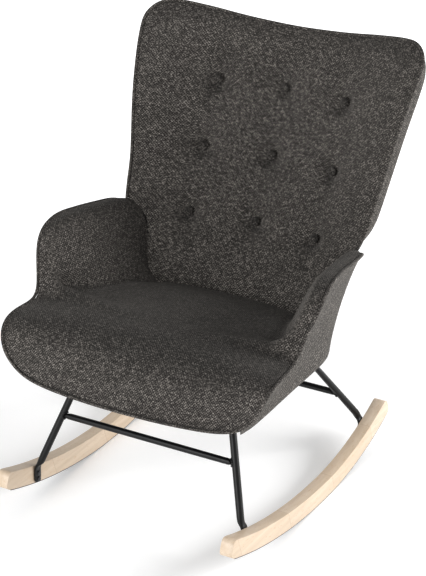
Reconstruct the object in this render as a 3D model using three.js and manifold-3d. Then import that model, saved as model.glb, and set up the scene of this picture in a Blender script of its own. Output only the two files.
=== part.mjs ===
// Rocking chair: an upholstered bucket seat with arms and a tall winged back, carried by
// two bent steel leg frames on a pair of curved wooden rockers.
// Millimetres, +Z up, the sitter faces -Y. The chair is drawn with the floor at z = 0 and
// is moved at the end so that its origin is the middle of its bounding box's underside.
import * as THREE from 'three';
import { mergeVertices } from 'three/addons/utils/BufferGeometryUtils.js';
import Module from 'manifold-3d';

const wasm = await Module();
wasm.setup();

// ---------------------------------------------------------------- driving dimensions
const clearance = 0.35; // gap between pieces that touch

// Seat tub
const baseZ = 322; // underside of the seat tub
const baseHalfWidth = 270;
const baseFrontY = -318;
const baseRearY = 212;
const baseFrontRadius = 70;
const baseRearRadius = 150;
const coverThickness = 3;
const shellThickness = 10;
const boardThickness = 18;
const boardInset = 18;
const boardFrontY = -288;
const dustCoverThickness = 2;
const panelBow = 8; // how far the outer panels curve inwards between base and rim
const seatFrontY = -336;
const seatTopZ = 447; // highest line of the seat cushion
const seatRearZ = 392; // seat surface where it meets the back
const seatRearY = 148;
const frontRollDepth = 96;
const rollEnd = 0.31; // share of the seat's side that the front roll takes
const rollEndY = -222; // where along the side the front roll has ended
const sideEndY = 155; // and where the seat's side ends
const railDepth = 36; // the wooden rail that stiffens the cushion's front edge
const railHeight = 52;
const railLength = 440;
const armPadThickness = 52;
const armFrontInset = 56; // from the arm's rim in to where the arm meets the seat, in front
const armRearInset = 120; // and at the back

// Back
const backCentreZ = 660; // centre that the back's rings shrink towards
const backPadThickness = 36;
const backShellThickness = 8;
const backThickness = 60;
const wingDepth = 135; // how far the wings come forward at the widest curve
const wingPeakZ = 680;
const wingSpan = 340;
const wingPower = 2.4;

// Welts, buttons
const weltRadius = 4;
const weltEndZ = 558; // the back's welt ends here, out of sight behind the arms
const buttonRadius = 12;
const buttonHeight = 8;
const dimpleRadius = 34;
const dimpleDepth = 10;
const buttonRows = [
  { z: 542, x: 160 },
  { z: 677, x: 163 },
  { z: 819, x: 159 },
];

// Leg frames
const tubeRadius = 8.5;
const barRadius = 7.5;
const kneeX = 253;
const legTopX = 183;
const frontKneeY = -269;
const frontKneeZ = 100;
const frontLegTopY = -189;
const frontBarZ = 209;
const rearKneeY = 290;
const rearKneeZ = 90;
const rearLegTopY = 124;
const rearBarZ = 165;
const tabHalfWidth = 11.5;
const tabThickness = 5;
const tabEndHeight = 5; // above the rocker's underside
const tabBoltHeight = 19;
const tabBoltSpread = 7;
const plateThickness = 3;
const plateLength = 78;
const plateWidth = 34;
const plateBoltOffset = 28; // the plate's bolts lie this far before and behind the leg's top

// Rockers
const rockerInnerX = 265.7;
const rockerWidth = 29;
const rockerFrontRadius = 1255; // running edge in front of the contact line
const rockerRearRadius = 760; // and behind it
const contactY = 54; // where the rockers touch the floor, below the chair's centre of mass
const rockerDepth = 43; // height of the wood
const rockerFrontY = -386;
const rockerRearY = 376;
const rockerEndRadius = 16;
const stripThickness = 2;
const stripWidth = 28;
const stripEndMargin = 19;
const standRise = 0.8; // cut off the lowest part of the curve, for a flat to stand on

// Fasteners
const boltRadius = 3;
const boltHeadRadius = 5.5;
const boltHeadHeight = 4;
const boltHoleRadius = 3.4;

// Screws that hold the foot of the back to the rear wall of the tub, two on each side
const backScrewX = [70, 130];
const backScrewHeight = 0.55; // share of the wall's height
const backScrewLength = 34;

// ---------------------------------------------------------------- materials
const fabric = { color: 0x4a4541, roughness: 0.95, metalness: 0 };
const blackCloth = { color: 0x17171a, roughness: 0.9, metalness: 0 };
const plywood = { color: 0xb98d5a, roughness: 0.75, metalness: 0 };
const blackSteel = { color: 0x101112, roughness: 0.45, metalness: 0.4 };
const zincSteel = { color: 0x2c2d30, roughness: 0.35, metalness: 0.9 };
const beech = { color: 0xd2ad7e, roughness: 0.6, metalness: 0 };
const rubber = { color: 0x2a2826, roughness: 0.9, metalness: 0 };

// ---------------------------------------------------------------- geometry helpers
const lerp = THREE.MathUtils.lerp;
const clamp = THREE.MathUtils.clamp;
const smoothstep = THREE.MathUtils.smoothstep;
const vec = (x, y, z) => new THREE.Vector3(x, y, z);
const mirrored = (p) => vec(-p.x, p.y, p.z);
const range = (count) => Array.from({ length: count }, (_, i) => i);

function signedVolume(geometry) {
  const position = geometry.getAttribute('position');
  const index = geometry.getIndex();
  const [a, b, c] = [vec(0, 0, 0), vec(0, 0, 0), vec(0, 0, 0)];
  let sum = 0;
  for (let i = 0; i < index.count; i += 3) {
    a.fromBufferAttribute(position, index.getX(i));
    b.fromBufferAttribute(position, index.getX(i + 1));
    c.fromBufferAttribute(position, index.getX(i + 2));
    sum += a.dot(b.cross(c)) / 6;
  }
  return sum;
}

// An indexed geometry from points and triangles, turned so that its faces point outwards.
function closedGeometry(points, triangles) {
  const geometry = new THREE.BufferGeometry();
  const flat = points.flatMap((p) => [p.x, p.y, p.z]);
  geometry.setAttribute('position', new THREE.Float32BufferAttribute(flat, 3));
  geometry.setIndex(triangles.flat());
  if (signedVolume(geometry) < 0) {
    geometry.setIndex(triangles.flatMap(([a, b, c]) => [a, c, b]));
  }
  geometry.computeVertexNormals();
  return geometry;
}

// A solid between two surfaces given as grids of points with the same rows and columns.
function slab(front, back) {
  const rows = front.length;
  const columns = front[0].length;
  const points = [...front.flat(), ...back.flat()];
  const triangles = [];
  const quad = (a, b, c, d) => triangles.push([a, b, c], [a, c, d]);
  const frontAt = (i, j) => i * columns + j;
  const backAt = (i, j) => rows * columns + i * columns + j;
  for (let i = 0; i + 1 < rows; i++) {
    for (let j = 0; j + 1 < columns; j++) {
      quad(frontAt(i, j), frontAt(i, j + 1), frontAt(i + 1, j + 1), frontAt(i + 1, j));
      quad(backAt(i, j), backAt(i + 1, j), backAt(i + 1, j + 1), backAt(i, j + 1));
    }
  }
  const wall = (i0, j0, i1, j1) => {
    quad(frontAt(i0, j0), frontAt(i1, j1), backAt(i1, j1), backAt(i0, j0));
  };
  for (let i = 0; i + 1 < rows; i++) {
    wall(i, 0, i + 1, 0);
    wall(i + 1, columns - 1, i, columns - 1);
  }
  for (let j = 0; j + 1 < columns; j++) {
    wall(0, j + 1, 0, j);
    wall(rows - 1, j, rows - 1, j + 1);
  }
  return closedGeometry(points, triangles);
}

// A solid skinned over closed rings of points, closed by a fan at each end.
function ringSolid(rings) {
  const sides = rings[0].length;
  const centreOf = (ring) => ring.reduce((sum, p) => sum.add(p), vec(0, 0, 0)).divideScalar(sides);
  const points = [...rings.flat(), centreOf(rings[0]), centreOf(rings[rings.length - 1])];
  const first = points.length - 2;
  const last = points.length - 1;
  const triangles = [];
  for (let k = 0; k < sides; k++) {
    const next = (k + 1) % sides;
    triangles.push([first, next, k]);
    for (let r = 0; r + 1 < rings.length; r++) {
      const [a, b] = [r * sides, (r + 1) * sides];
      triangles.push([a + k, a + next, b + next], [a + k, b + next, b + k]);
    }
    const end = (rings.length - 1) * sides;
    triangles.push([last, end + k, end + next]);
  }
  return closedGeometry(points, triangles);
}

function tubeAlong(curve, radius, sides, steps) {
  const section = new THREE.Shape();
  section.absarc(0, 0, radius, 0, 2 * Math.PI, false);
  return new THREE.ExtrudeGeometry(section, {
    steps,
    curveSegments: sides / 2,
    extrudePath: curve,
    bevelEnabled: false,
  });
}

function toSolid(geometry) {
  const bare = geometry.clone();
  bare.deleteAttribute('normal');
  bare.deleteAttribute('uv');
  const merged = mergeVertices(bare, 1e-4);
  return new wasm.Manifold(new wasm.Mesh({
    numProp: 3,
    vertProperties: new Float32Array(merged.getAttribute('position').array),
    triVerts: new Uint32Array(merged.getIndex().array),
  }));
}

function toGeometry(solid) {
  const mesh = solid.getMesh();
  const geometry = new THREE.BufferGeometry();
  geometry.setAttribute('position', new THREE.Float32BufferAttribute(mesh.vertProperties, 3));
  geometry.setIndex(Array.from(mesh.triVerts));
  geometry.computeVertexNormals();
  return geometry;
}

function cut(geometry, tools) {
  const solid = tools.reduce((rest, tool) => rest.subtract(toSolid(tool)), toSolid(geometry));
  return toGeometry(solid);
}

// A turned piece: profile points are [radius, height], and axis says where its height runs.
function turned(profile, sides, base, axis) {
  const outline = profile.map(([r, h]) => new THREE.Vector2(r, h));
  const geometry = new THREE.LatheGeometry(outline, sides);
  const turn = new THREE.Quaternion().setFromUnitVectors(vec(0, 1, 0), axis.clone().normalize());
  return geometry.applyQuaternion(turn).translate(base.x, base.y, base.z);
}

const rod = (radius, start, end, sides = 14) => {
  const axis = end.clone().sub(start);
  const length = axis.length();
  return turned([[0, 0], [radius, 0], [radius, length], [0, length]], sides, start, axis);
};

const chair = new THREE.Group();

function addPart(name, geometry, look) {
  const mesh = new THREE.Mesh(geometry, new THREE.MeshStandardMaterial(look));
  mesh.name = name;
  chair.add(mesh);
}

// ---------------------------------------------------------------- back surface
// Middle line of the back cushion's front, from the seat up, as [z, y].
const backProfile = new THREE.SplineCurve([
  new THREE.Vector2(300, 89),
  new THREE.Vector2(392, 148),
  new THREE.Vector2(542, 244),
  new THREE.Vector2(675, 319),
  new THREE.Vector2(818, 378),
  new THREE.Vector2(940, 426),
  new THREE.Vector2(1010, 452),
]);
const backSamples = backProfile.getPoints(160);

function backCentreY(z) {
  const next = clamp(backSamples.findIndex((p) => p.x > z), 1, backSamples.length - 1);
  const [low, high] = [backSamples[next - 1], backSamples[next]];
  return lerp(low.y, high.y, (z - low.x) / (high.x - low.x));
}

// The front of the back cushion: a shell that is hollow towards the sitter.
function backFrontY(x, z) {
  const reach = z > wingPeakZ ? (z - wingPeakZ) / 265 : (wingPeakZ - z) / 455;
  const depth = wingDepth - 50 * reach * reach;
  return backCentreY(z) - depth * Math.pow(Math.abs(x) / wingSpan, wingPower);
}

function backNormal(x, z) {
  const step = 2;
  const slopeX = (backFrontY(x + step, z) - backFrontY(x - step, z)) / (2 * step);
  const slopeZ = (backFrontY(x, z + step) - backFrontY(x, z - step)) / (2 * step);
  return vec(-slopeX, 1, -slopeZ).normalize();
}

// Below the arms the back is a thin tongue inside the tub.
function tongueFactor(x, z) {
  const tongue = 1 - smoothstep(z, 545, 620);
  return 1 - 0.66 * tongue * Math.min(1, Math.pow(x / 240, 2));
}

// A point at a depth behind the cushion's front.
function behindBack(x, z, depth) {
  const normal = backNormal(x, z).multiplyScalar(depth * tongueFactor(x, z));
  return vec(x, backFrontY(x, z), z).add(normal);
}

// Right half of the back's outline from its foot to the middle of its top edge.
const backOutlineRight = [
  [0, 376], [150, 376], [214, 381], [232, 402], [236, 450], [238, 520],
  [259, 544], [282, 562], [288, 600], [292, 645], [302, 712], [323, 840], [336, 920],
  [337, 952], [324, 970], [300, 976], [230, 967], [120, 949], [0, 942],
].map(([x, z]) => vec(x, 0, z));
const backOutlineCurve = new THREE.CatmullRomCurve3(
  [...backOutlineRight, ...backOutlineRight.slice(1, -1).reverse().map(mirrored)],
  true,
  'centripetal',
);
const backOutline = backOutlineCurve.getSpacedPoints(60).slice(0, 60);

function backRing(scale, depth, push = 0) {
  return backOutline.map((p) => {
    const out = vec(p.x, 0, p.z - backCentreZ);
    const length = out.length();
    out.multiplyScalar((scale * length + push) / length);
    return behindBack(out.x, out.z + backCentreZ, depth);
  });
}

function makeBack() {
  const padRings = [
    [0.3, 0], [0.6, 0], [0.82, 0], [0.92, 3], [0.97, 9], [0.995, 20],
    [0.98, 29], [0.95, backPadThickness], [0.65, backPadThickness], [0.3, backPadThickness],
  ];
  const pad = ringSolid(padRings.map(([scale, depth]) => backRing(scale, depth)));

  const shellFront = backPadThickness + clearance;
  const shellRear = shellFront + backShellThickness;
  const shellRings = [
    [0.3, shellRear], [0.65, shellRear], [0.925, shellRear],
    [0.95, shellFront], [0.65, shellFront], [0.3, shellFront],
  ];
  const shell = ringSolid(shellRings.map(([scale, depth]) => backRing(scale, depth)));

  const outer = [
    [0.3, backThickness], [0.6, backThickness], [0.82, backThickness - 1],
    [0.94, backThickness - 7], [1.0, 44], [1.015, 25],
  ];
  const inner = outer.map(([scale, depth]) => [scale - 0.012, depth - coverThickness]).reverse();
  inner[0][1] = 25;
  const cover = ringSolid([...outer, ...inner].map(([scale, depth]) => backRing(scale, depth)));
  return { pad, shell, cover };
}

// The welt runs round the edge of the back, open at the foot inside the tub.
function makeBackWelt() {
  const ring = backRing(1, 17, 6);
  const open = ring.filter((p) => p.z > weltEndZ);
  const start = open.findIndex((p, i) => i > 0 && p.distanceTo(open[i - 1]) > 60);
  const ordered = start > 0 ? [...open.slice(start), ...open.slice(0, start)] : open;
  const path = new THREE.CatmullRomCurve3(ordered, false, 'centripetal');
  return tubeAlong(path, weltRadius, 8, 72);
}

function buttonPlace(x, z) {
  const inward = backNormal(x, z);
  const surface = vec(x, backFrontY(x, z), z);
  return { surface, inward, seat: surface.clone().addScaledVector(inward, dimpleDepth) };
}

function makeDimple({ surface, inward }) {
  const outward = inward.clone().negate();
  const base = surface.clone().addScaledVector(inward, dimpleDepth);
  const profile = [
    [0, 0], [buttonRadius + 1, 0], [dimpleRadius * 0.62, dimpleDepth * 0.55],
    [dimpleRadius, dimpleDepth + 1], [dimpleRadius, dimpleDepth + 12], [0, dimpleDepth + 12],
  ];
  return turned(profile, 14, base, outward);
}

function makeButton({ seat, inward }) {
  const outward = inward.clone().negate();
  const base = seat.clone().addScaledVector(outward, clearance);
  const profile = [[0, 0], [buttonRadius - 2, 0], [buttonRadius, 2.5]];
  for (const angle of [30, 60]) {
    const turn = THREE.MathUtils.degToRad(angle);
    const rise = (buttonHeight - 2.5) * Math.sin(turn);
    profile.push([buttonRadius * Math.cos(turn), 2.5 + rise]);
  }
  profile.push([0, buttonHeight]);
  return turned(profile, 14, base, outward);
}

// ---------------------------------------------------------------- tub surfaces
// Right half of the rim (the welt's seat), from the middle of the front edge round the arm
// to the middle of the rear wall.
const rimPoints = [
  vec(0, -336, 325), vec(133, -330, 325.5), vec(229, -318, 330), vec(268, -311, 341),
  vec(300, -308, 371), vec(316, -299, 409), vec(322, -272, 433), vec(322, -225, 439),
  vec(318, -178, 439), vec(318, -157, 448), vec(327, -138, 497), vec(340, -117, 534),
  vec(345, -94, 568), vec(342, -45, 587), vec(333, 15, 584), vec(322, 103, 570),
  vec(311, 155, 561), vec(296, 181, 547), vec(262, 216, 529), vec(200, 260, 512),
  vec(110, 300, 500), vec(0, 316, 495),
];
const rimCurve = new THREE.CatmullRomCurve3(
  [...rimPoints, ...rimPoints.slice(1, -1).reverse().map(mirrored)],
  true,
  'centripetal',
);
const rimCount = 2 * (rimPoints.length - 1);
const sideStart = 3; // rim point at the cushion's front corner
const panelStart = 3.8; // the outer panel begins where the rim has risen clear of the base
const sideEnd = 16; // rim point where the arm meets the back

// Nearest point of the tub's rounded rectangular base to a point outside it, moved inwards.
function basePoint(p, inset) {
  const front = p.y < 0;
  const radius = front ? baseFrontRadius : baseRearRadius;
  const limitX = baseHalfWidth - radius;
  const coreX = clamp(p.x, -limitX, limitX);
  const coreY = clamp(p.y, baseFrontY + baseFrontRadius, baseRearY - baseRearRadius);
  const out = new THREE.Vector2(p.x - coreX, p.y - coreY);
  out.setLength(radius - inset);
  return vec(coreX + out.x, coreY + out.y, baseZ);
}

// A point of the outer panel: height 0 at the base, 1 at the rim; depth is measured inwards.
function panelPoint(rim, height, depth) {
  const base = basePoint(rim, 0);
  const along = rim.clone().sub(base);
  const out = vec(rim.x - base.x, rim.y - base.y, 0);
  if (out.length() < 1) out.set(rim.x, 0, 0);
  out.normalize();
  const normal = out.clone().multiplyScalar(along.z);
  normal.z = -Math.hypot(along.x, along.y);
  normal.normalize();
  const bow = 4 * panelBow * height * (1 - height) * smoothstep(along.z, 40, 160);
  return base.addScaledVector(along, height).addScaledVector(normal, -depth - bow);
}

// Points along the rim from one front corner round the rear to the other.
function rimWalk(steps) {
  const first = panelStart / rimCount;
  const last = 1 - first;
  return range(steps + 1).map((i) => rimCurve.getPoint(lerp(first, last, i / steps)));
}

function tubRibbon(outerDepth, innerDepth) {
  const heights = [0.03, 0.25, 0.5, 0.75, 0.97];
  const rims = rimWalk(48).map((p) => vec(p.x, p.y, p.z - 3));
  const surface = (depth) => rims.map((rim) => heights.map((h) => panelPoint(rim, h, depth)));
  return slab(surface(outerDepth), surface(innerDepth));
}

// Centre line of the seat cushion: a rounded front edge, then a gentle fall to the back.
function seatCentre(share, sideY) {
  if (share < rollEnd) {
    const angle = (share / rollEnd) * (Math.PI / 2);
    const y = seatFrontY + frontRollDepth * (1 - Math.cos(angle));
    return vec(0, y, 325 + (seatTopZ - 325) * Math.sin(angle));
  }
  const along = smoothShare(sideY);
  const y = lerp(seatFrontY + frontRollDepth, seatRearY, along);
  return vec(0, y, seatTopZ - (seatTopZ - seatRearZ) * Math.pow(along, 1.6));
}
const smoothShare = (sideY) => clamp((sideY - rollEndY) / (sideEndY - rollEndY), 0, 1);

// Height of the cushion's lower front edge, which turns up at the corners.
const frontEdgeZ = (x) => 325 + 16 * Math.pow(x / 268, 8);

// Upper surface of the cushion across the tub, from the middle out to the rim.
function cushionSection(share) {
  const rim = rimCurve.getPoint(lerp(sideStart, sideEnd, share) / rimCount);
  const centre = seatCentre(share, rim.y);
  const arm = smoothstep(rim.z, 442, 560);
  const creaseInset = lerp(armFrontInset, armRearInset, smoothstep(rim.y, -130, 40));
  const faceInset = (creaseInset + armPadThickness) / 2;
  const flat = (inset, rise) => vec(rim.x - inset, 0, Math.max(rim.z + rise, centre.z - 40));
  const tall = (inset, z) => vec(rim.x - inset, 0, z);
  const blend = (low, high) => low.lerp(high, arm);
  const front = 1 - smoothstep(share, 0, rollEnd);
  const rise = lerp(9, 1, front);
  const points = [
    vec(0, 0, centre.z),
    vec(rim.x * 0.45, 0, centre.z - 1),
    blend(flat(62, rise), tall(creaseInset + 24, centre.z - 2)),
    blend(flat(48, rise), tall(creaseInset - 6, centre.z + 12)),
    blend(flat(34, rise), tall(faceInset + 6, lerp(centre.z, rim.z, 0.45))),
    blend(flat(20, rise - 1), tall(lerp(armPadThickness - 6, faceInset - 18, 0.6), rim.z - 22)),
    blend(flat(12, rise - 3), tall(28, rim.z + 9)),
    blend(flat(7, rise * 0.4), tall(10, rim.z + 5)),
  ];
  const settle = smoothstep(share, 0.82, 1);
  return points.map((p) => {
    const lifted = smoothstep(share, 0, 0.12);
    p.z = lerp(frontEdgeZ(p.x) + 1, p.z, lifted);
    const across = p.x / rim.x;
    const tucked = 3.5 * (1 - smoothstep(share, 0.05, 0.25));
    const y = lerp(centre.y, rim.y, across * across) + tucked;
    const touching = backFrontY(p.x, p.z) - clearance;
    return vec(p.x, Math.min(lerp(y, touching, settle), touching), p.z);
  });
}

// Underside of the cushion: over the board, then up the inside of the shell.
function cushionUnderside(share) {
  const rim = rimCurve.getPoint(lerp(sideStart, sideEnd, share) / rimCount);
  const centre = seatCentre(share, rim.y);
  const depth = coverThickness + shellThickness + 3 * clearance;
  const lowered = vec(rim.x, rim.y, rim.z - 3);
  const wallAt = (height) => panelPoint(lowered, height, depth + 6);
  const foot = wallAt(0.12);
  const overBoard = smoothstep(foot.y, -310, -294);
  const floorZ = lerp(baseZ + 3, baseZ + boardThickness + 2, overBoard);
  foot.z = Math.max(foot.z, floorZ);
  const points = [
    vec(0, centre.y, floorZ), vec(foot.x * 0.4, lerp(centre.y, foot.y, 0.16), floorZ),
    vec(foot.x * 0.8, lerp(centre.y, foot.y, 0.64), floorZ), vec(foot.x, foot.y, floorZ),
    wallAt(0.3), wallAt(0.55), wallAt(0.8), wallAt(1),
  ];
  const settle = smoothstep(share, 0.82, 1);
  return points.map((p) => {
    const touching = backFrontY(p.x, p.z) - clearance;
    return vec(p.x, Math.min(lerp(p.y, touching, settle), touching), Math.max(p.z, floorZ));
  });
}

const withMirror = (half) => [...half.slice(1).reverse().map(mirrored), ...half];

function makeCushion() {
  const shares = range(23).map((i) => i / 22);
  const top = shares.map((share) => withMirror(cushionSection(share)));
  const under = shares.map((share) => withMirror(cushionUnderside(share)));
  return slab(top, under);
}

// A flat plate with the outline of the tub's base.
function basePlate(inset, frontY, bottomZ, thickness) {
  const shape = new THREE.Shape();
  const x = baseHalfWidth - inset;
  const rear = baseRearY - inset;
  const rearRadius = baseRearRadius - inset;
  const frontRadius = baseFrontRadius - inset;
  shape.moveTo(0, frontY);
  shape.lineTo(x - frontRadius, frontY);
  shape.absarc(x - frontRadius, frontY + frontRadius, frontRadius, -Math.PI / 2, 0, false);
  shape.absarc(x - rearRadius, rear - rearRadius, rearRadius, 0, Math.PI / 2, false);
  shape.absarc(rearRadius - x, rear - rearRadius, rearRadius, Math.PI / 2, Math.PI, false);
  shape.absarc(frontRadius - x, frontY + frontRadius, frontRadius, Math.PI, 1.5 * Math.PI, false);
  const geometry = new THREE.ExtrudeGeometry(shape, {
    depth: thickness,
    curveSegments: 4,
    bevelEnabled: false,
  });
  return geometry.translate(0, 0, bottomZ);
}

// The rail stands on the front edge of the board, inside the cushion.
function makeFrontRail(grow) {
  const rail = new THREE.BoxGeometry(railLength, railDepth, railHeight);
  rail.scale(1 + grow / railLength, 1 + grow / railDepth, 1 + grow / railHeight);
  const bottomZ = baseZ + boardThickness + 2 * clearance;
  return rail.translate(0, boardFrontY + railDepth / 2 + 2, bottomZ + railHeight / 2);
}

// The rim's welt stands just outside and above the rim, open at the middle of the rear.
function makeSeatWelt() {
  const joinGap = 0.004;
  const count = 96;
  const points = range(count + 1).map((i) => {
    const share = (0.5 + joinGap + (1 - 2 * joinGap) * (i / count)) % 1;
    const p = rimCurve.getPoint(share);
    const base = basePoint(p, 0);
    const out = vec(p.x - base.x, p.y - base.y, 0).normalize();
    return p.addScaledVector(out, 4.8).add(vec(0, 0, 2.2));
  });
  return tubeAlong(new THREE.CatmullRomCurve3(points, false, 'centripetal'), weltRadius, 8, 96);
}

// ---------------------------------------------------------------- leg frames
const plateTopZ = baseZ - dustCoverThickness - 2 * clearance;
const plateBottomZ = plateTopZ - plateThickness;
const legTopZ = plateBottomZ - clearance;
const rockerBottomZ = (y) => {
  const radius = y < contactY ? rockerFrontRadius : rockerRearRadius;
  return radius - Math.sqrt(radius ** 2 - (y - contactY) ** 2);
};
const rockerTopZ = (y) => rockerBottomZ(y) + rockerDepth;

// Sections down a leg: a round tube to the knee, then pressed flat against the rocker.
function makeLeg(side, topY, kneeY, kneeZ) {
  const tabX = rockerInnerX - clearance - tabThickness / 2;
  const tabTopZ = Math.min(rockerTopZ(kneeY) + 6, kneeZ - 9);
  const tabEndZ = rockerBottomZ(kneeY) + tabEndHeight;
  const top = vec(legTopX, topY, legTopZ);
  const knee = vec(kneeX, kneeY, kneeZ);
  const down = knee.clone().sub(top).normalize();
  const bend = 16;
  const sections = [
    { at: top, flat: 0, level: 1 },
    { at: knee.clone().addScaledVector(down, -bend), flat: 0, level: 0.15 },
    { at: knee.clone().addScaledVector(down, -bend * 0.4), flat: 0.05, level: 0.5 },
    { at: vec(kneeX + 1, kneeY, kneeZ - 5), flat: 0.15, level: 0.85 },
    { at: vec(tabX - 3, kneeY, tabTopZ), flat: 0.6, level: 1 },
    { at: vec(tabX, kneeY, tabTopZ - 12), flat: 1, level: 1 },
    { at: vec(tabX, kneeY, tabEndZ + 8), flat: 1, level: 1 },
    { at: vec(tabX, kneeY, tabEndZ + 2.5), flat: 1, level: 1, taper: 0.85 },
    { at: vec(tabX, kneeY, tabEndZ), flat: 1, level: 1, taper: 0.55 },
  ];
  const facets = 16;
  const tilt = new THREE.Quaternion().setFromUnitVectors(vec(0, 0, -1), down);
  const rings = sections.map(({ at, flat, level, taper = 1 }) => {
    const turn = tilt.clone().slerp(new THREE.Quaternion(), level);
    return range(facets).map((k) => {
      const angle = (2 * Math.PI * k) / facets;
      const halfX = lerp(tubeRadius, tabThickness / 2, flat);
      const halfY = lerp(tubeRadius, tabHalfWidth, flat) * taper;
      const squareness = 1 + 0.18 * flat * Math.abs(Math.sin(2 * angle));
      const edge = vec(halfX * Math.cos(angle), halfY * Math.sin(angle), 0);
      edge.multiplyScalar(squareness);
      edge.x = clamp(edge.x, -halfX, halfX);
      const p = edge.applyQuaternion(turn).add(at);
      return vec(side * p.x, p.y, p.z);
    });
  });
  return ringSolid(rings);
}

// A straight crossbar, hollowed at its ends to sit against the two legs.
function makeCrossbar(topY, kneeY, kneeZ, barZ) {
  const share = (legTopZ - barZ) / (legTopZ - kneeZ);
  const x = lerp(legTopX, kneeX, share);
  const y = lerp(topY, kneeY, share);
  const bar = rod(barRadius, vec(-x, y, barZ), vec(x, y, barZ), 16);
  const legSpace = (side) => {
    const top = vec(side * legTopX, topY, legTopZ);
    const knee = vec(side * kneeX, kneeY, kneeZ);
    return rod(tubeRadius + clearance, top, knee, 16);
  };
  return cut(bar, [legSpace(1), legSpace(-1)]);
}

const holeUp = (p) => rod(boltHoleRadius, vec(p.x, p.y, p.z - 20), vec(p.x, p.y, p.z + 60));

function plateBolts(side, topY) {
  return [-1, 1].map((end) => vec(side * legTopX, topY + end * plateBoltOffset, plateTopZ));
}

function makePlate(side, topY) {
  const plate = new THREE.BoxGeometry(plateWidth, plateLength, plateThickness);
  plate.translate(side * legTopX, topY, (plateTopZ + plateBottomZ) / 2);
  return cut(plate, plateBolts(side, topY).map(holeUp));
}

// A screw with a flanged round head; the head's underside is at place, the shank runs along.
function makeScrew(place, along, shankLength) {
  const profile = [
    [0, -boltHeadHeight], [boltHeadRadius * 0.55, -boltHeadHeight],
    [boltHeadRadius * 0.9, -boltHeadHeight * 0.6], [boltHeadRadius, -0.9], [boltHeadRadius, 0],
    [boltRadius, 0], [boltRadius, shankLength - 1], [boltRadius - 1, shankLength],
    [0, shankLength],
  ];
  return turned(profile, 12, place, along);
}

// ---------------------------------------------------------------- rockers
// Side outline of a rocker or of its grip strip: a band that follows the running curve
// between two heights above it, with a short flat to stand on and rounded corners.
function rockerBand(lower, upper, frontY, rearY, endRadius) {
  const half = (radius, endY) => ({
    radius,
    end: Math.asin((endY - contactY) / radius),
    inset: (Math.sign(contactY - endY) * endRadius) / radius,
    stand: Math.sign(endY - contactY) * Math.acos(1 - standRise / radius),
  });
  const front = half(rockerFrontRadius, frontY);
  const rear = half(rockerRearRadius, rearY);
  const place = ({ radius }, height, angle) => [
    contactY + (radius - height) * Math.sin(angle),
    radius - (radius - height) * Math.cos(angle),
  ];
  const shape = new THREE.Shape();
  const arc = ({ radius }, height, from, to) => {
    const quarter = Math.PI / 2;
    shape.absarc(contactY, radius, radius - height, from - quarter, to - quarter, from > to);
  };
  const line = (part, height) => shape.lineTo(...place(part, height, part.end));
  const bend = (part, cornerHeight, endHeight, endAngle) => {
    const corner = place(part, cornerHeight, part.end);
    shape.quadraticCurveTo(...corner, ...place(part, endHeight, endAngle));
  };
  shape.moveTo(...place(front, lower, front.end + front.inset));
  arc(front, lower, front.end + front.inset, front.stand);
  arc(rear, lower, rear.stand, rear.end + rear.inset);
  bend(rear, lower, lower + endRadius, rear.end);
  line(rear, upper - endRadius);
  bend(rear, upper, upper, rear.end + rear.inset);
  arc(rear, upper, rear.end + rear.inset, 0);
  arc(front, upper, 0, front.end + front.inset);
  bend(front, upper, upper - endRadius, front.end);
  line(front, lower + endRadius);
  bend(front, lower, lower, front.end + front.inset);
  return shape;
}

function extrudeAcross(shape, fromX, width) {
  const geometry = new THREE.ExtrudeGeometry(shape, {
    depth: width,
    curveSegments: 6,
    bevelEnabled: false,
  });
  const turn = new THREE.Matrix4().makeBasis(vec(0, 1, 0), vec(0, 0, 1), vec(1, 0, 0));
  return geometry.applyMatrix4(turn).translate(fromX, 0, 0);
}

function rockerBolts(side, kneeY) {
  const middleZ = rockerBottomZ(kneeY) + tabBoltHeight;
  const x = side * (rockerInnerX - clearance - tabThickness - clearance);
  return [-1, 1].map((end) => vec(x, kneeY, middleZ + end * tabBoltSpread));
}

// Holes for the rocker screws, from clear of the leg's tab to past the screw's end.
const tabHoles = (side, kneeY) => rockerBolts(side, kneeY).map((p) => (
  rod(boltHoleRadius, vec(p.x - side * 4, p.y, p.z), vec(p.x + side * 28, p.y, p.z))
));

function makeRocker(side) {
  const inner = side > 0 ? rockerInnerX : -rockerInnerX - rockerWidth;
  const outline = rockerBand(
    stripThickness,
    rockerDepth,
    rockerFrontY,
    rockerRearY,
    rockerEndRadius,
  );
  const wood = extrudeAcross(outline, inner, rockerWidth);
  return cut(wood, [frontKneeY, rearKneeY].flatMap((y) => tabHoles(side, y)));
}

function makeStrip(side) {
  const middle = side * (rockerInnerX + rockerWidth / 2);
  const outline = rockerBand(
    0,
    stripThickness - clearance,
    rockerFrontY + stripEndMargin,
    rockerRearY - stripEndMargin,
    0,
  );
  return extrudeAcross(outline, middle - stripWidth / 2, stripWidth);
}

// ---------------------------------------------------------------- assembly
const sides = [{ name: 'left', sign: -1 }, { name: 'right', sign: 1 }];
const frames = [
  { name: 'front', topY: frontLegTopY, kneeY: frontKneeY, kneeZ: frontKneeZ, barZ: frontBarZ },
  { name: 'rear', topY: rearLegTopY, kneeY: rearKneeY, kneeZ: rearKneeZ, barZ: rearBarZ },
];

// Places and directions of the back screws, from outside the tub's rear wall inwards.
function backScrewPlaces() {
  const across = [...backScrewX.map((x) => -x), ...backScrewX];
  const rearHalf = range(81).map((i) => rimCurve.getPoint(lerp(sideEnd / rimCount, 0.5, i / 80)));
  return across.map((x) => {
    const rim = rearHalf.reduce((best, p) => (
      Math.abs(p.x - Math.abs(x)) < Math.abs(best.x - Math.abs(x)) ? p : best
    ));
    const side = x < 0 ? mirrored(rim) : rim;
    const outside = panelPoint(side, backScrewHeight, -2.6);
    const inside = panelPoint(side, backScrewHeight, 10);
    return { outside, along: inside.sub(outside).normalize() };
  });
}

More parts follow.
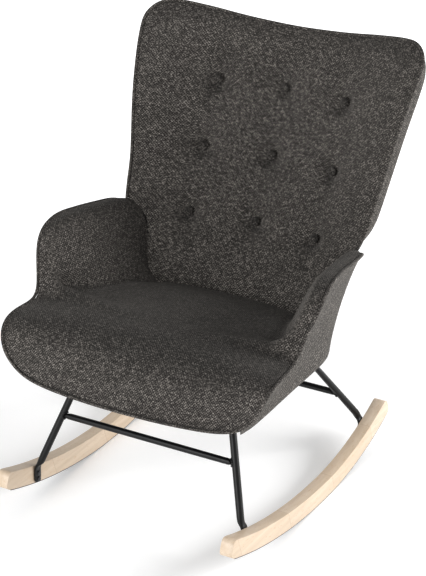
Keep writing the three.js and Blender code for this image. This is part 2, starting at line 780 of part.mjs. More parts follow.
const plateHoles = frames.flatMap(({ topY }) => (
  sides.flatMap(({ sign }) => plateBolts(sign, topY).map(holeUp))
));
const backScrews = backScrewPlaces();
const backScrewHoles = backScrews.map(({ outside, along }) => (
  rod(boltHoleRadius, outside.clone().addScaledVector(along, -6),
    outside.clone().addScaledVector(along, backScrewLength + 3))
));

const back = makeBack();
const rows = ['bottom', 'middle', 'top'];
const columns = [{ name: 'left', sign: -1 }, { name: 'middle', sign: 0 }, { name: 'right', sign: 1 }];
const buttons = buttonRows.flatMap(({ x, z }, row) => columns.map(({ name, sign }) => (
  { name: `back_button_${rows[row]}_${name}`, place: buttonPlace(sign * x, z) }
)));

addPart('back_cushion', cut(back.pad, buttons.map(({ place }) => makeDimple(place))), fabric);
addPart('back_shell', cut(back.shell, backScrewHoles), plywood);
addPart('back_outer_cover', cut(back.cover, backScrewHoles), fabric);
addPart('back_welt', makeBackWelt(), fabric);
for (const { name, place } of buttons) addPart(name, makeButton(place), fabric);

const seatCover = tubRibbon(0, coverThickness);
const seatShellOuter = coverThickness + clearance;
const seatShell = tubRibbon(seatShellOuter, seatShellOuter + shellThickness);
addPart('seat_cushion', cut(makeCushion(), [makeFrontRail(2 * clearance)]), fabric);
addPart('seat_front_rail', makeFrontRail(0), plywood);
addPart('seat_shell', cut(seatShell, backScrewHoles), plywood);
addPart('seat_outer_cover', cut(seatCover, backScrewHoles), fabric);
addPart('seat_welt', makeSeatWelt(), fabric);
const board = basePlate(boardInset, boardFrontY, baseZ + clearance, boardThickness);
addPart('seat_base_board', cut(board, plateHoles), plywood);
const dustZ = baseZ - dustCoverThickness;
const dustCover = basePlate(boardInset - 8, boardFrontY - 16, dustZ, dustCoverThickness);
addPart('dust_cover', cut(dustCover, plateHoles), blackCloth);
backScrews.forEach(({ outside, along }, i) => {
  addPart(`back_screw_${i + 1}`, makeScrew(outside, along, backScrewLength), zincSteel);
});

for (const { name, topY, kneeY, kneeZ, barZ } of frames) {
  for (const side of sides) {
    const place = `${name}_${side.name}`;
    const leg = cut(makeLeg(side.sign, topY, kneeY, kneeZ), tabHoles(side.sign, kneeY));
    addPart(`${name}_leg_${side.name}`, leg, blackSteel);
    addPart(`leg_plate_${place}`, makePlate(side.sign, topY), blackSteel);
    plateBolts(side.sign, topY).forEach((p, i) => {
      const head = vec(p.x, p.y, plateBottomZ - clearance);
      addPart(`plate_bolt_${place}_${i + 1}`, makeScrew(head, vec(0, 0, 1), 18), zincSteel);
    });
    rockerBolts(side.sign, kneeY).forEach((p, i) => {
      const screw = makeScrew(p, vec(side.sign, 0, 0), 26);
      addPart(`rocker_bolt_${place}_${i + 1}`, screw, zincSteel);
    });
  }
  addPart(`${name}_crossbar`, makeCrossbar(topY, kneeY, kneeZ, barZ), blackSteel);
}
for (const { name, sign } of sides) {
  addPart(`rocker_${name}`, makeRocker(sign), beech);
  addPart(`rocker_grip_strip_${name}`, makeStrip(sign), rubber);
}

// The finished chair stands with the middle of its footprint box over the origin.
const box = new THREE.Box3().setFromObject(chair);
chair.position.set(0, -(box.min.y + box.max.y) / 2, -box.min.z);
chair.updateMatrixWorld(true);

export default chair;
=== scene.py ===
"""Looks for the upholstered rocking chair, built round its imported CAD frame."""
import math

import bmesh
import bpy
import numpy as np
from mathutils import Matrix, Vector
from mathutils.bvhtree import BVHTree


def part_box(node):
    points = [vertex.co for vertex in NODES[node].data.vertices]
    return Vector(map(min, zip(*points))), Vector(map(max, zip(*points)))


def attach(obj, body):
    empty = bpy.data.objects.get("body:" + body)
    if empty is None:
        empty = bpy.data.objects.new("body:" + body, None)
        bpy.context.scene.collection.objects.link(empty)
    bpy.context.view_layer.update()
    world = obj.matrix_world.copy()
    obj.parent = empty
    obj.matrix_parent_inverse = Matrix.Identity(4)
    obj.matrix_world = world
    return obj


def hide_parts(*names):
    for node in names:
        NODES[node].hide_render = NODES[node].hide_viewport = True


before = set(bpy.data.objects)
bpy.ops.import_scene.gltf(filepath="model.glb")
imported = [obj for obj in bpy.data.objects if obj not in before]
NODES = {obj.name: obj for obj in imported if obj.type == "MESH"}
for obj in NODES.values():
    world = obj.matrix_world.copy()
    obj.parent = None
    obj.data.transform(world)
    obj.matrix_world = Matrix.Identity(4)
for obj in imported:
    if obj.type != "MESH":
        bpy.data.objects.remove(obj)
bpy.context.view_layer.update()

SIDES = ("left", "right")
ENDS = ("front", "rear")

# ---------------------------------------------------------------- sizes, in metres
PAD_EDGE = 0.018  # a pad's edge is drawn out to a welt that is this near
BACK_EDGE = 0.009  # and the seat pad's rear edge to the back cushion
COVER_EDGE = 0.014
COVER_HEM = 0.03  # height of the strip that is drawn down to the seat's underside
SEAM_GAP = 0.0008  # the groove on either side of a welt
SHELL_DROP = 0.008  # how far the hidden shells stop short of the welt
TURNED_CLOTH = 0.045  # how far the cloth is turned down inside the shells' rims
PAD_PRESSURE = 4.0
PAD_FRAMES = 20
SEAT_TRAVEL = 0.010  # the most that a point of the seat cushion may puff out
BACK_TRAVEL = 0.008
BUTTON_SINK = 0.0075  # how far the buttons pull the cushion in, beyond the CAD dimples
BUTTON_REACH = 0.020
ARM_CREASE = [(0.252, -0.150), (0.229, -0.049), (0.212, 0.008), (0.195, 0.067), (0.176, 0.125)]
CREASE_DEPTH = 0.006
CREASE_REACH = 0.009
BACK_SEAM_DEPTH = 0.004  # how far the arms' rear edges roll in where they meet the back
BACK_SEAM_REACH = 0.008
YARN = 0.0030  # width of one yarn in the weave
WELD = 0.0028  # radius of a weld bead
ROCKER_EDGE = 0.0035
BEECH_LENGTH = 0.205  # length of the pieces of beech that a rocker is glued from
FRONT_LEG_TOP_Y = -0.189  # where the front leg plates are when y = 0 is the design's middle
SEAT_PAD_ROUNDS = 14  # smoothing rounds: more make a pad softer
BACK_PAD_ROUNDS = 4


# ---------------------------------------------------------------- mesh helpers
def mesh_from_node(node):
    """A bmesh copy of a CAD node with its split vertices joined again."""
    bm = bmesh.new()
    bm.from_mesh(NODES[node].data)
    bmesh.ops.remove_doubles(bm, verts=bm.verts, dist=2e-5)
    bmesh.ops.dissolve_degenerate(bm, edges=bm.edges, dist=1e-6)
    return bm


def new_piece(name, bm, material, replaced=()):
    """A smooth-shaded piece on the chair's only body, from a bmesh."""
    mesh = bpy.data.meshes.new(name)
    bm.normal_update()
    bm.to_mesh(mesh)
    bm.free()
    piece = bpy.data.objects.new(name, mesh)
    bpy.context.scene.collection.objects.link(piece)
    for polygon in mesh.polygons:
        polygon.use_smooth = True
    mesh.materials.append(material)
    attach(piece, "root")
    if replaced:
        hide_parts(*replaced)
    return piece


def quads(bm, angle=40):
    bmesh.ops.join_triangles(
        bm,
        faces=bm.faces,
        angle_face_threshold=math.radians(angle),
        angle_shape_threshold=math.radians(75),
    )


def crease_sharp(bm, angle, amount=1.0):
    layer = bm.edges.layers.float.get("crease_edge") or bm.edges.layers.float.new("crease_edge")
    for edge in bm.edges:
        if len(edge.link_faces) == 2 and edge.calc_face_angle() > math.radians(angle):
            edge[layer] = amount


def subdivide(piece, levels):
    modifier = piece.modifiers.new("fine", "SUBSURF")
    modifier.levels = levels
    modifier.render_levels = levels


def bevel(piece, width, segments=3, angle=35):
    modifier = piece.modifiers.new("edges", "BEVEL")
    modifier.width = width
    modifier.segments = segments
    modifier.limit_method = "ANGLE"
    modifier.angle_limit = math.radians(angle)
    modifier.harden_normals = True


def apply_modifiers(piece):
    graph = bpy.context.evaluated_depsgraph_get()
    mesh = bpy.data.meshes.new_from_object(piece.evaluated_get(graph))
    piece.modifiers.clear()
    old = piece.data
    piece.data = mesh
    bpy.data.meshes.remove(old)
    for polygon in mesh.polygons:
        polygon.use_smooth = True


def coordinates(mesh):
    flat = np.empty(len(mesh.vertices) * 3)
    mesh.vertices.foreach_get("co", flat)
    return flat.reshape(-1, 3)


def set_coordinates(mesh, points):
    mesh.vertices.foreach_set("co", np.ascontiguousarray(points, dtype=np.float64).ravel())
    mesh.update()


def normals(mesh):
    flat = np.empty(len(mesh.vertices) * 3)
    mesh.vertices.foreach_get("normal", flat)
    return flat.reshape(-1, 3)


def relax(mesh, rounds, share):
    """Moves each point towards its neighbours' middle, as far as its share from 0 to 1 says."""
    pairs = np.empty(len(mesh.edges) * 2, dtype=np.int64)
    mesh.edges.foreach_get("vertices", pairs)
    a, b = pairs[0::2], pairs[1::2]
    count = np.bincount(pairs, minlength=len(mesh.vertices)).clip(1)[:, None]
    points = coordinates(mesh)
    for _ in range(rounds):
        total = np.stack([
            np.bincount(a, points[b, k], len(points)) + np.bincount(b, points[a, k], len(points))
            for k in range(3)
        ], axis=1)
        points = points + (total / count - points) * 0.6 * share[:, None]
    set_coordinates(mesh, points)


def smoothstep(value, low, high):
    t = np.clip((value - low) / (high - low), 0, 1)
    return t * t * (3 - 2 * t)


def middle(node):
    low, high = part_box(node)
    return (low + high) / 2


def design_y():
    """Where the design's own y = 0 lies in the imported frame."""
    return middle("leg_plate_front_left").y - FRONT_LEG_TOP_Y


def nearest_on(node, points):
    """For each point, the nearest place on a CAD node's surface and how far it is."""
    bm = mesh_from_node(node)
    tree = BVHTree.FromBMesh(bm)
    bm.free()
    found = [tree.find_nearest(point) for point in points]
    places = np.array([hit[0] for hit in found])
    return places, np.array([hit[3] for hit in found])


def draw_to(mesh, node, near, far):
    """Stretches a mesh's edge out to a CAD node: fully where it is within near, less to far."""
    points = coordinates(mesh)
    places, distance = nearest_on(node, points)
    pull = (1 - smoothstep(distance, near, far)) * (1 - SEAM_GAP / distance.clip(SEAM_GAP))
    set_coordinates(mesh, points + (places - points) * pull[:, None])
    return distance


def distance_to_path(points, path):
    """How far each 2-D point is from a chain of straight lines."""
    nearest = np.full(len(points), np.inf)
    for start, end in zip(path[:-1], path[1:]):
        along = end - start
        share = ((points - start) @ along / (along @ along)).clip(0, 1)
        nearest = np.minimum(nearest, np.linalg.norm(points - start - share[:, None] * along, axis=1))
    return nearest


# ---------------------------------------------------------------- material helpers
class Graph:
    """A material's node tree with short calls for adding nodes."""

    def __init__(self, name):
        self.material = bpy.data.materials.new(name)
        self.material.use_nodes = True
        self.tree = self.material.node_tree
        self.shader = self.tree.nodes["Principled BSDF"]
        self.coords = self.add("ShaderNodeTexCoord").outputs["Object"]

    def add(self, kind, inputs=None, **settings):
        node = self.tree.nodes.new(kind)
        for key, value in settings.items():
            setattr(node, key, value)
        for key, value in (inputs or {}).items():
            self.put(node.inputs[key], value)
        return node

    def put(self, socket, value):
        if isinstance(value, bpy.types.NodeSocket):
            self.tree.links.new(value, socket)
        else:
            socket.default_value = value

    def math(self, operation, a, b=0.0, clamp=False):
        node = self.add("ShaderNodeMath", {0: a, 1: b}, operation=operation, use_clamp=clamp)
        return node.outputs[0]

    def stretched(self, scale, vector=None):
        inputs = {"Vector": vector or self.coords, "Scale": scale}
        return self.add("ShaderNodeMapping", inputs).outputs[0]

    def noise(self, scale, detail=2.0, roughness=0.5, vector=None):
        inputs = {"Vector": vector or self.coords, "Scale": scale, "Detail": detail,
                  "Roughness": roughness}
        return self.add("ShaderNodeTexNoise", inputs).outputs["Fac"]

    def ramp(self, value, stops):
        node = self.add("ShaderNodeValToRGB", {"Fac": value})
        elements = node.color_ramp.elements
        while len(elements) < len(stops):
            elements.new(0.5)
        for element, (position, colour) in zip(elements, stops):
            element.position = position
            element.color = (*colour, 1) if len(colour) == 3 else colour
        return node.outputs["Color"]

    def mix(self, factor, a, b, blend="MIX"):
        node = self.add("ShaderNodeMix", data_type="RGBA", blend_type=blend)
        self.put(node.inputs[0], factor)
        self.put(node.inputs[6], a if isinstance(a, bpy.types.NodeSocket) else (*a, 1))
        self.put(node.inputs[7], b if isinstance(b, bpy.types.NodeSocket) else (*b, 1))
        return node.outputs[2]

    def bump(self, height, distance, strength=1.0):
        inputs = {"Height": height, "Distance": distance, "Strength": strength}
        self.put(self.shader.inputs["Normal"], self.add("ShaderNodeBump", inputs).outputs[0])

    def set(self, **values):
        for key, value in values.items():
            self.put(self.shader.inputs[key.replace("_", " ")], value)


def spread(graph, value, low, high, start=0.0, end=1.0):
    """A value that goes from start to end, as a number that goes from low to high."""
    inputs = {"Value": value, "From Min": start, "From Max": end, "To Min": low, "To Max": high}
    return graph.add("ShaderNodeMapRange", inputs).outputs[0]


def weave_height(g):
    """A plain weave laid on the surface from its nearest axis, with uneven yarns."""
    wobble = g.add("ShaderNodeTexNoise", {"Vector": g.coords, "Scale": 90.0, "Detail": 1.0})
    shift = g.add("ShaderNodeVectorMath", {0: wobble.outputs["Color"], 1: (0.5, 0.5, 0.5)},
                  operation="SUBTRACT").outputs[0]
    moved = g.add("ShaderNodeVectorMath", {0: shift, 1: (YARN, YARN, YARN), 2: g.coords},
                  operation="MULTIPLY_ADD").outputs[0]
    split = g.add("ShaderNodeSeparateXYZ", {0: moved})
    waves = [g.math("SINE", g.math("MULTIPLY", part, math.pi / YARN)) for part in split.outputs]
    normal = g.add("ShaderNodeSeparateXYZ", {0: g.add("ShaderNodeTexCoord").outputs["Normal"]})
    facing = [g.math("POWER", part, 4.0) for part in normal.outputs]
    height = 0.0
    for axis in range(3):
        u, v = [waves[k] for k in range(3) if k != axis]
        height = g.math("ADD", height, g.math("MULTIPLY", g.math("MULTIPLY", u, v), facing[axis]))
    return height


def chenille(name, brightness=1.0):
    """Dark grey-brown chenille: a plain weave of heathered yarns, with painted shade on its upward
    faces and in the weave's hollows; a brightness below 1 gives a darker painted-shade copy.
    """
    g = Graph(name)
    weave = weave_height(g)
    yarn_cells = g.add(
        "ShaderNodeTexVoronoi",
        {"Vector": g.stretched((0.55, 0.75, 1.0)), "Scale": 1.55 / YARN, "Randomness": 1.0},
    )
    cell = g.add("ShaderNodeSeparateColor", {0: yarn_cells.outputs["Color"]}).outputs[0]
    heather = g.ramp(cell, [
        (0.0, (0.010, 0.0090, 0.0081)),
        (0.35, (0.025, 0.0225, 0.0202)),
        (0.75, (0.076, 0.0689, 0.0623)),
        (1.0, (0.178, 0.1620, 0.1467)),
    ])
    slubs = g.noise(1.0, 2.0, 0.6, g.stretched((90.0, 420.0, 420.0)))
    slubbed = g.mix(g.math("MULTIPLY", slubs, 0.3), heather, (0.058, 0.0525, 0.0475))
    patches = spread(g, g.noise(22.0, 3.0), 0.86 * brightness, 1.14 * brightness)
    normal = g.add("ShaderNodeSeparateXYZ", {0: g.add("ShaderNodeTexCoord").outputs["Normal"]})
    # painted shade: faces that point up are darkened, down to 0.45 of their colour, for the weaker
    # light that falls on them
    painted_top_shade = spread(g, normal.outputs[2], 1.0, 0.45, 0.55, 0.98)
    # painted shade and highlight from the weave's relief: hollows darkened, yarn crowns lightened
    weave_relief_shade = spread(g, weave, 0.15, 1.65, -0.5, 0.5)
    # random patches times the painted top shade and the painted weave shade
    shade = g.math("MULTIPLY", g.math("MULTIPLY", patches, painted_top_shade), weave_relief_shade)
    shade_colour = g.add("ShaderNodeCombineColor", {0: shade, 1: shade, 2: shade}).outputs[0]
    g.set(Base_Color=g.mix(1.0, slubbed, shade_colour, "MULTIPLY"))
    g.set(Roughness=spread(g, slubs, 0.86, 1.0))
    g.set(Specular_IOR_Level=0.2, Sheen_Weight=0.12, Sheen_Roughness=0.5)
    g.set(Sheen_Tint=(0.75, 0.71, 0.66, 1))
    fluff = g.noise(900.0, 2.0)
    beads = g.math("MULTIPLY", yarn_cells.outputs["Distance"], -0.8)
    height = g.math("ADD", g.math("MULTIPLY", weave, 0.5), g.math("ADD", beads, fluff))
    g.bump(height, 0.0011, 0.8)
    return g.material


def beech(name, shift):
    """Lacquered beech, glued from lengths of slightly different tone; shift moves the joints."""
    g = Graph(name)
    split = g.add("ShaderNodeSeparateXYZ", {0: g.coords})
    along = g.math("ADD", split.outputs[1], g.math("MULTIPLY", split.outputs[2], 0.35))
    place = g.math("DIVIDE", g.math("ADD", along, 2.0 + shift), BEECH_LENGTH)
    block = g.math("FLOOR", place)
    tone = g.add("ShaderNodeTexWhiteNoise", {"W": block}, noise_dimensions="1D").outputs["Value"]
    shifted = g.add("ShaderNodeCombineXYZ", {0: g.math("MULTIPLY", block, 0.37)}).outputs[0]
    own = g.add("ShaderNodeVectorMath", {0: g.coords, 1: shifted}, operation="ADD").outputs[0]
    grain = g.noise(1.0, 4.0, 0.6, g.stretched((75.0, 5.0, 75.0), own))
    flecks = g.noise(1.0, 2.0, 0.5, g.stretched((700.0, 60.0, 420.0), own))
    light = g.ramp(grain, [(0.3, (0.55, 0.44, 0.33)), (0.5, (0.63, 0.515, 0.40)),
                           (0.7, (0.70, 0.59, 0.475))])
    toned = g.mix(spread(g, tone, 0.0, 0.6), light, (0.50, 0.365, 0.235))
    flecked = g.mix(g.math("GREATER_THAN", flecks, 0.66), toned, (0.52, 0.36, 0.22))
    edge = g.math("ABSOLUTE", g.math("SUBTRACT", g.math("FRACT", place), 0.5))
    joint = g.math("GREATER_THAN", edge, 0.4975)
    g.set(Base_Color=g.mix(g.math("MULTIPLY", joint, 0.5), flecked, (0.30, 0.17, 0.08)))
    g.set(Roughness=spread(g, grain, 0.38, 0.55), Coat_Weight=0.15, Coat_Roughness=0.3)
    g.bump(grain, 0.0004, 0.25)
    return g.material


def powder_coat():
    """Black satin powder coat: a faint orange peel and slightly rubbed high spots."""
    g = Graph("powder_coat")
    peel = g.noise(900.0, 2.0)
    rubbed = g.ramp(g.noise(60.0, 4.0, 0.7), [(0.55, (0.0035, 0.0035, 0.0038)),
                                              (0.8, (0.010, 0.010, 0.0105))])
    g.set(Base_Color=rubbed, Roughness=spread(g, peel, 0.32, 0.46), Specular_IOR_Level=0.22)
    g.bump(peel, 0.0003, 0.35)
    return g.material


def dark_zinc():
    g = Graph("dark_zinc")
    worn = g.noise(500.0, 4.0, 0.7)
    g.set(Base_Color=g.ramp(worn, [(0.35, (0.028, 0.028, 0.03)), (0.75, (0.10, 0.10, 0.105))]))
    g.set(Metallic=0.85, Roughness=spread(g, worn, 0.28, 0.5))
    g.bump(worn, 0.0002, 0.3)
    return g.material


def grip_rubber():
    g = Graph("grip_rubber")
    grain = g.noise(700.0, 3.0)
    g.set(Base_Color=g.ramp(grain, [(0.3, (0.016, 0.015, 0.015)), (0.7, (0.035, 0.033, 0.032))]))
    g.set(Roughness=spread(g, grain, 0.75, 0.95))
    g.bump(grain, 0.0003, 0.6)
    return g.material


def under_cloth():
    """Black non-woven cloth: pressed fibres with a grid of small bonding dots."""
    g = Graph("under_cloth")
    fibres = g.noise(1.0, 3.0, 0.7, g.stretched((900.0, 250.0, 400.0)))
    dots = g.add("ShaderNodeTexVoronoi", {"Vector": g.coords, "Scale": 450.0, "Randomness": 0.1})
    g.set(Base_Color=g.ramp(fibres, [(0.3, (0.007, 0.007, 0.008)), (0.7, (0.022, 0.022, 0.024))]))
    g.set(Roughness=spread(g, fibres, 0.8, 0.95))
    g.bump(g.math("ADD", fibres, dots.outputs["Distance"]), 0.0004, 0.6)
    return g.material


def plywood():
    g = Graph("plywood")
    split = g.add("ShaderNodeSeparateXYZ", {0: g.coords})
    plies = g.math("SINE", g.math("MULTIPLY", split.outputs[2], 2200.0))
    grain = g.noise(1.0, 4.0, 0.6, g.stretched((8.0, 110.0, 110.0)))
    light = g.ramp(grain, [(0.3, (0.50, 0.34, 0.19)), (0.7, (0.66, 0.48, 0.29))])
    g.set(Base_Color=g.mix(spread(g, plies, 0.0, 0.25), light, (0.35, 0.21, 0.11)))
    g.set(Roughness=spread(g, grain, 0.6, 0.8))
    g.bump(grain, 0.0004, 0.4)
    return g.material


FABRIC = chenille("chenille")
# the same chenille at 0.6 brightness on the buttons: painted shade for the dimples they sit in
SHADED_BUTTON_FABRIC = chenille("chenille_painted_shade_on_buttons", 0.6)
STEEL = powder_coat()
ZINC = dark_zinc()
RUBBER = grip_rubber()
UNDER_CLOTH = under_cloth()
PLYWOOD = plywood()


# ---------------------------------------------------------------- cushions
def pad_mesh(name, node, neighbours, rounds):
    """The CAD cushion as a fine smooth quad mesh, with its edges drawn out to its neighbours.

    The second result is how far each point was from the nearest of them.
    """
    bm = mesh_from_node(node)
    quads(bm)
    crease_sharp(bm, 60, 0.6)
    piece = new_piece(name, bm, FABRIC, [node])
    subdivide(piece, 2)
    apply_modifiers(piece)
    edge = np.inf
    for neighbour, near, far in neighbours:
        edge = np.minimum(edge, draw_to(piece.data, neighbour, near, far))
    relax(piece.data, rounds, smoothstep(edge, PAD_EDGE, 5 * PAD_EDGE))
    return piece, edge


def puff(piece, hold, travel):
    """Blows the pad up as cloth, held where hold is 1, and caps how far a point may move."""
    scene = bpy.context.scene
    group = piece.vertex_groups.new(name="held")
    for level in range(11):
        members = np.nonzero(np.round(hold * 10).astype(int) == level)[0]
        group.add(members.tolist(), level / 10, "REPLACE")
    before = coordinates(piece.data)
    modifier = piece.modifiers.new("cloth", "CLOTH")
    settings = modifier.settings
    settings.vertex_group_mass = "held"
    settings.use_pressure = True
    settings.uniform_pressure_force = PAD_PRESSURE
    settings.tension_stiffness = 8
    settings.compression_stiffness = 8
    settings.bending_stiffness = 0.6
    settings.quality = 4
    settings.effector_weights.gravity = 0
    modifier.collision_settings.use_collision = False
    modifier.point_cache.frame_start = 1
    modifier.point_cache.frame_end = PAD_FRAMES
    for step in range(1, PAD_FRAMES + 1):
        scene.frame_set(step)
    graph = bpy.context.evaluated_depsgraph_get()
    after = coordinates(piece.evaluated_get(graph).data)
    piece.modifiers.clear()
    piece.vertex_groups.clear()
    scene.frame_set(1)
    move = after - before
    length = np.linalg.norm(move, axis=1, keepdims=True).clip(1e-9)
    set_coordinates(piece.data, before + move / length * travel * np.tanh(length / travel))
    relax(piece.data, 3, 1 - hold)


BUTTONS = [
    f"back_button_{row}_{column}"
    for row in ("bottom", "middle", "top")
    for column in ("left", "middle", "right")
]


def make_back_cushion():
    neighbours = [("back_welt", PAD_EDGE, 1.8 * PAD_EDGE)]
    piece, edge = pad_mesh("back_pad", "back_cushion", neighbours, BACK_PAD_ROUNDS)
    points = coordinates(piece.data)
    facing = normals(piece.data)
    hold = np.zeros(len(points))
    for node in BUTTONS:
        centre = np.array(middle(node))
        away = np.linalg.norm(points - centre, axis=1)
        front = smoothstep(-facing[:, 1], 0.0, 0.4)
        pull = BUTTON_SINK * np.exp(-away / BUTTON_REACH) * front
        points = points - facing * pull[:, None]
        hold = np.maximum(hold, 1 - smoothstep(away, 0.012, 0.05))
    set_coordinates(piece.data, points)
    hold = np.maximum(hold, 1 - smoothstep(edge, 0.012, 0.06))
    hold = np.maximum(hold, smoothstep(facing[:, 1], -0.3, 0.1))
    puff(piece, hold, BACK_TRAVEL)
    subdivide(piece, 1)


def press_creases(mesh):
    """Tucks the pad in along the foot of each arm and along its seam with the back."""
    points = coordinates(mesh)
    facing = normals(mesh)
    path = np.array(ARM_CREASE) + (0, design_y())
    plan = np.column_stack([np.abs(points[:, 0]), points[:, 1]])
    to_crease = distance_to_path(plan, path)
    _, to_back = nearest_on("back_cushion", points)
    upward = smoothstep(facing[:, 2], 0.0, 0.3)
    forward = smoothstep(-facing[:, 1], -0.5, 0.0)
    tuck = CREASE_DEPTH * np.exp(-(to_crease / CREASE_REACH) ** 2) * upward
    seam = BACK_SEAM_DEPTH * np.exp(-to_back / BACK_SEAM_REACH) * forward
    set_coordinates(mesh, points - facing * (tuck + seam)[:, None])


def make_seat_cushion():
    neighbours = [
        ("seat_welt", PAD_EDGE, 1.8 * PAD_EDGE),
        ("back_cushion", BACK_EDGE, 2 * BACK_EDGE),
    ]
    piece, edge = pad_mesh("seat_pad", "seat_cushion", neighbours, SEAT_PAD_ROUNDS)
    facing = normals(piece.data)
    hold = 1 - smoothstep(edge, 0.012, 0.07)
    hold = np.maximum(hold, smoothstep(-facing[:, 2], 0.1, 0.5))
    puff(piece, hold, SEAT_TRAVEL)
    press_creases(piece.data)
    subdivide(piece, 1)


def make_button(node):
    bm = mesh_from_node(node)
    quads(bm)
    piece = new_piece(node + "_covered", bm, SHADED_BUTTON_FABRIC, [node])
    subdivide(piece, 2)


def close_bottom(mesh):
    """Draws the cover's lower edge down to the underside of the board that it is fixed to."""
    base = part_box("seat_base_board")[0].z
    points = coordinates(mesh)
    height = points[:, 2] - base
    points[:, 2] = base + height * smoothstep(height, 0.004, COVER_HEM)
    set_coordinates(mesh, points)


def make_cover(name, node, welt):
    bm = mesh_from_node(node)
    quads(bm, 25)
    piece = new_piece(name, bm, FABRIC, [node])
    subdivide(piece, 2)
    apply_modifiers(piece)
    draw_to(piece.data, welt, COVER_EDGE, 2 * COVER_EDGE)
    if node == "seat_outer_cover":
        close_bottom(piece.data)


def make_shell(name, node, welt):
    """The hidden plywood shell, cut back from the welt, with the cloth turned over its rim."""
    bm = mesh_from_node(node)
    quads(bm, 25)
    piece = new_piece(name, bm, PLYWOOD, [node])
    points = coordinates(piece.data)
    places, distance = nearest_on(welt, points)
    push = SHELL_DROP * (1 - smoothstep(distance, 0.01, 0.03))[:, None]
    set_coordinates(piece.data, points + (points - places) / distance[:, None] * push)
    piece.data.materials.append(FABRIC)
    for polygon in piece.data.polygons:
        if min(distance[i] for i in polygon.vertices) < TURNED_CLOTH:
            polygon.material_index = 1


def make_welt(name, node):
    bm = mesh_from_node(node)
    quads(bm)
    piece = new_piece(name, bm, FABRIC, [node])
    subdivide(piece, 2)


# ---------------------------------------------------------------- steel
def make_steel(node):
    bm = mesh_from_node(node)
    quads(bm, 50)
    crease_sharp(bm, 60, 0.8)
    piece = new_piece(node + "_tube", bm, STEEL, [node])
    subdivide(piece, 2)


def weld_line(end, side, count=48):
    """Points round the end of a crossbar where it meets its leg, each with its spoke."""
    low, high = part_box(f"{end}_crossbar")
    centre = (low + high) / 2
    radius = (high.z - low.z) / 2
    outwards = Vector((-1 if side == "left" else 1, 0, 0))
    bm = mesh_from_node(f"{end}_leg_{side}")
    leg = BVHTree.FromBMesh(bm)
    bm.free()
    line = []
    for i in range(count):
        angle = 2 * math.pi * i / count
        spoke = Vector((0, math.cos(angle), math.sin(angle)))
        start = centre + spoke * radius
        hit = leg.ray_cast(start, outwards)[0]
        line.append((hit or start + outwards * high.x, spoke))
    return line


def make_weld(end, side):
    """A rippled bead of weld round the end of a crossbar."""
    line = weld_line(end, side)
    bead = bmesh.new()
    rings = []
    for i, (place, spoke) in enumerate(line):
        thick = WELD * (1 + 0.12 * math.sin(12 * 2 * math.pi * i / len(line)))
        ring = []
        for j in range(8):
            turn = 2 * math.pi * j / 8
            offset = spoke * math.cos(turn) + Vector((math.sin(turn), 0, 0))
            ring.append(bead.verts.new(place + offset * thick))
        rings.append(ring)
    for ring, following in zip(rings, rings[1:] + rings[:1]):
        for j in range(8):
            k = (j + 1) % 8
            bead.faces.new((ring[j], ring[k], following[k], following[j]))
    bmesh.ops.recalc_face_normals(bead, faces=bead.faces)
    new_piece(f"{end}_weld_{side}", bead, STEEL)


# ---------------------------------------------------------------- rockers
def make_rocker(side, joint_shift):
    node = f"rocker_{side}"
    bm = mesh_from_node(node)
    quads(bm, 5)
    wood = beech(f"beech_{side}", joint_shift)
    piece = new_piece(f"{node}_wood", bm, wood, [node])
    bevel(piece, ROCKER_EDGE)


make_back_cushion()
make_seat_cushion()
for button in BUTTONS:
    make_button(button)
make_cover("back_cover", "back_outer_cover", "back_welt")
make_cover("seat_cover", "seat_outer_cover", "seat_welt")
make_shell("back_board", "back_shell", "back_welt")
make_shell("seat_board", "seat_shell", "seat_welt")
make_welt("back_welt_cord", "back_welt")
make_welt("seat_welt_cord", "seat_welt")
for end in ENDS:
    make_steel(f"{end}_crossbar")
    for side in SIDES:
        make_steel(f"{end}_leg_{side}")
        make_weld(end, side)
make_rocker("left", 0.07)
make_rocker("right", 0.0)

CARRIED = {
    "leg_plate": STEEL, "plate_bolt": ZINC, "rocker_bolt": ZINC, "back_screw": ZINC,
    "rocker_grip_strip": RUBBER, "dust_cover": UNDER_CLOTH, "seat_base_board": PLYWOOD,
    "seat_front_rail": PLYWOOD,
}
for node, item in NODES.items():
    for start, material in CARRIED.items():
        if node.startswith(start):
            item.data.materials.clear()
            item.data.materials.append(material)


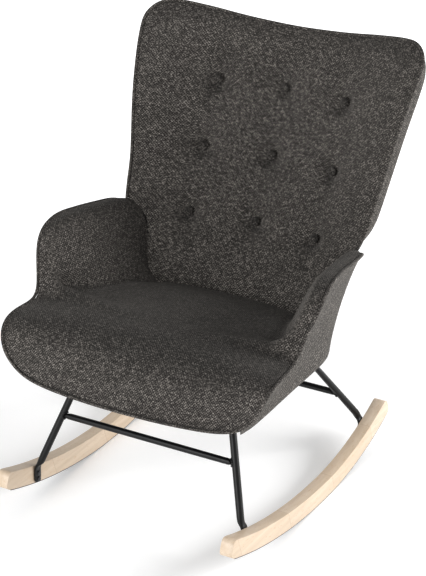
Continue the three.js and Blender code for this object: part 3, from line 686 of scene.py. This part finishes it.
# ---------------------------------------------------------------- floor, light, camera
def make_floor():
    """A white floor that glows a little more with distance, so that it stays white."""
    bm = bmesh.new()
    bmesh.ops.create_grid(bm, x_segments=2, y_segments=2, size=12)
    mesh = bpy.data.meshes.new("floor")
    bm.to_mesh(mesh)
    bm.free()
    floor = bpy.data.objects.new("floor", mesh)
    bpy.context.scene.collection.objects.link(floor)
    g = Graph("floor_paint")
    g.set(Base_Color=g.ramp(g.noise(3.0), [(0.0, (0.92, 0.92, 0.92)), (1.0, (0.95, 0.95, 0.95))]))
    g.set(Roughness=0.9, Specular_IOR_Level=0.1)
    away = g.add("ShaderNodeVectorMath", {0: g.coords}, operation="LENGTH").outputs["Value"]
    g.set(Emission_Color=(1, 1, 1, 1), Emission_Strength=spread(g, away, 0.15, 0.9, 0.6, 2.5))
    mesh.materials.append(g.material)


def make_light(name, place, size, power):
    data = bpy.data.lights.new(name, "AREA")
    data.shape = "DISK"
    data.size = size
    data.energy = power
    light = bpy.data.objects.new(name, data)
    light.location = place
    light.rotation_euler = (Vector((0, 0, 0.4)) - Vector(place)).to_track_quat("-Z", "Y").to_euler()
    bpy.context.scene.collection.objects.link(light)


def make_camera():
    shift = Vector((0, design_y(), 0))
    target = Vector((-0.08568, 0.20824, 0.36755)) + shift
    place = Vector((2.0774, -3.5930, 2.4287)) + shift
    data = bpy.data.cameras.new("camera")
    data.lens = 131.15
    data.sensor_width = 36
    camera = bpy.data.objects.new("camera", data)
    camera.location = place
    camera.rotation_euler = (target - place).to_track_quat("-Z", "Y").to_euler()
    bpy.context.scene.collection.objects.link(camera)
    bpy.context.scene.camera = camera


def make_world():
    world = bpy.data.worlds.new("studio")
    world.use_nodes = True
    background = world.node_tree.nodes["Background"]
    background.inputs["Color"].default_value = (1, 1, 1, 1)
    background.inputs["Strength"].default_value = 0.52
    bpy.context.scene.world = world


make_floor()
make_world()
make_light("front", (-0.9, -4.0, 1.7), 2.2, 130)
make_light("right", (3.2, 1.4, 1.6), 1.7, 150)
make_camera()
bpy.context.scene.view_settings.view_transform = "Standard"

bpy.context.view_layer.update()
